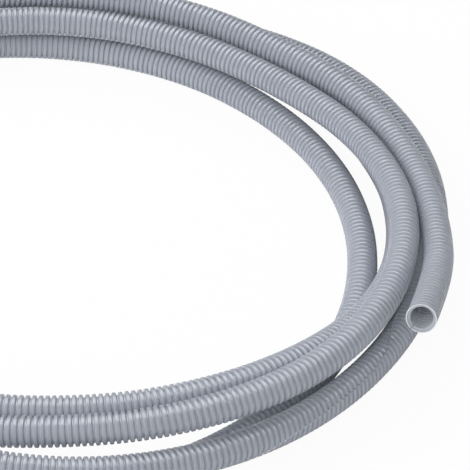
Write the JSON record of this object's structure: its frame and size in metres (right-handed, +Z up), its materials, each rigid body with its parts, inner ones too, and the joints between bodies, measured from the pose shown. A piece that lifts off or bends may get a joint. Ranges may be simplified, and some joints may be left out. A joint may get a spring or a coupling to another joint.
{
  "type": "split cable sleeve",
  "caption": "Loose coil of grey corrugated split conduit for bundling cables, 16 mm over the waves and 5 m long, slit along its whole length.",
  "frame": {"origin": "centre of the coil's footprint on the floor", "axes": "+Z up out of the floor the coil lies on; -Y towards the picture's camera, +X to its right"},
  "size_m": [0.4287, 0.4239, 0.054],
  "materials": {
    "sleeve": "matte"
  },
  "bodies": {
    "root": {"split_sleeve": "sleeve"}
  },
  "joints": []
}
